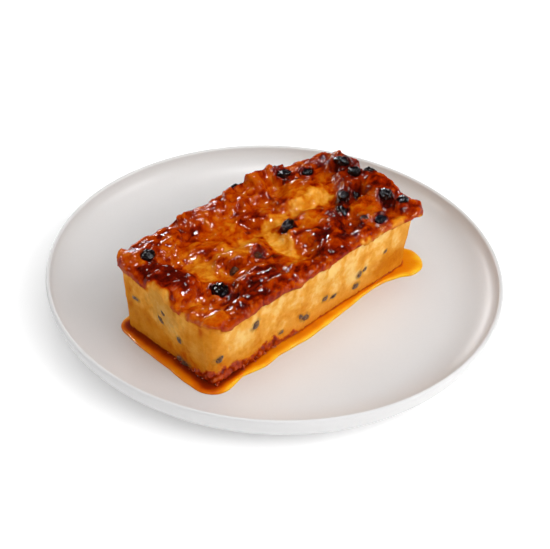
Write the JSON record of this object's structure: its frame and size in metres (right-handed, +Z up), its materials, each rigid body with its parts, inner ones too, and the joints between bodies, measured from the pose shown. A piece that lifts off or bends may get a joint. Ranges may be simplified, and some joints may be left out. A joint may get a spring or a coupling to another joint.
{
  "type": "bread pudding",
  "caption": "Loaf-shaped bread pudding with a glazed brown crust and raisins, in a thin pool of syrup on a round coupe plate.",
  "frame": {"origin": "centre of the plate's foot, on the surface that the plate stands on", "axes": "+Z up out of the plate; +X along the loaf's long side, towards the end with the heap of raisins; +Y across the loaf, away from the long side that the picture shows"},
  "size_m": [0.25, 0.25, 0.0603],
  "materials": {
    "plate": "off-white satin glaze",
    "pudding": "baked custard with a brown sugar glaze on the crust",
    "syrup": "clear amber caramel syrup",
    "raisin": "glossy wrinkled dark skin"
  },
  "bodies": {
    "root": {"plate": "plate", "pudding": "pudding", "syrup": "syrup", "raisin_01": "raisin", "raisin_02": "raisin", "raisin_03": "raisin", "raisin_04": "raisin", "raisin_05": "raisin", "raisin_06": "raisin", "raisin_07": "raisin", "raisin_08": "raisin", "raisin_09": "raisin", "raisin_10": "raisin", "raisin_11": "raisin", "raisin_12": "raisin", "raisin_13": "raisin", "raisin_14": "raisin", "raisin_15": "raisin", "raisin_16": "raisin", "raisin_17": "raisin", "raisin_18": "raisin", "raisin_19": "raisin"}
  },
  "joints": []
}
